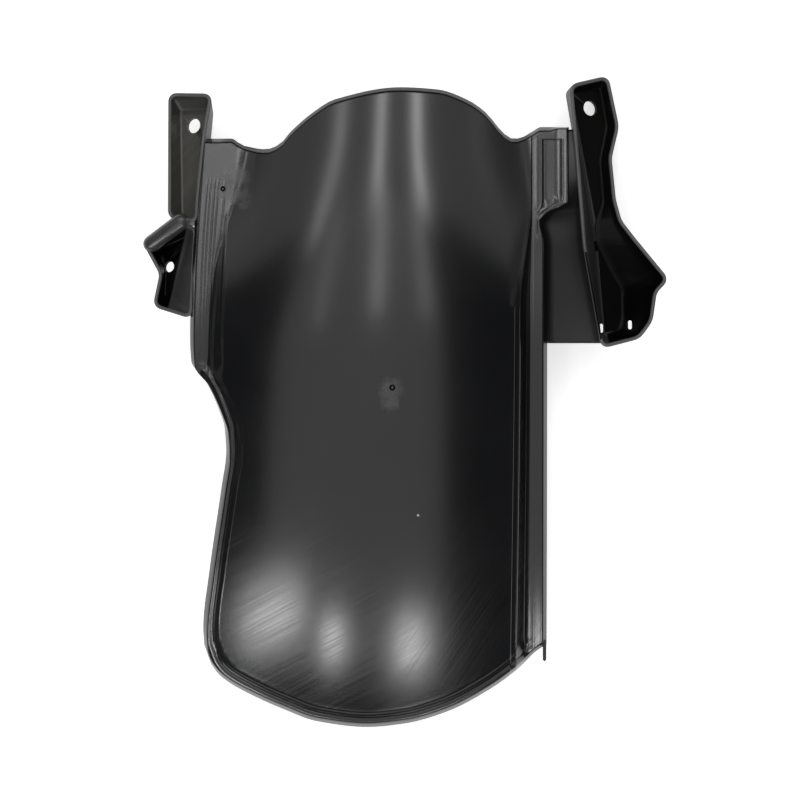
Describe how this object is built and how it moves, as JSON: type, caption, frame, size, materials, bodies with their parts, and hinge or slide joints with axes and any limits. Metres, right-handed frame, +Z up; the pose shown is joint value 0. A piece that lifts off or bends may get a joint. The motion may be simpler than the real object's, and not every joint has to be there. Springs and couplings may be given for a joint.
{
  "type": "motorcycle rear fender",
  "caption": "Long curved mudguard shell with a rolled rim, stepped brims and an arched end, and a tilted mounting wing on each side.",
  "frame": {"origin": "centre of the bounding box at its lowest level", "axes": "+Z up out of the crown of the shell, +Y along the shell from the rounded tail to the arched end, +X towards the straight brim"},
  "size_m": [0.313, 0.3908, 0.0818],
  "materials": {
    "plastic": "semi-gloss black moulded plastic"
  },
  "bodies": {
    "root": {"fender": "plastic"}
  },
  "joints": []
}
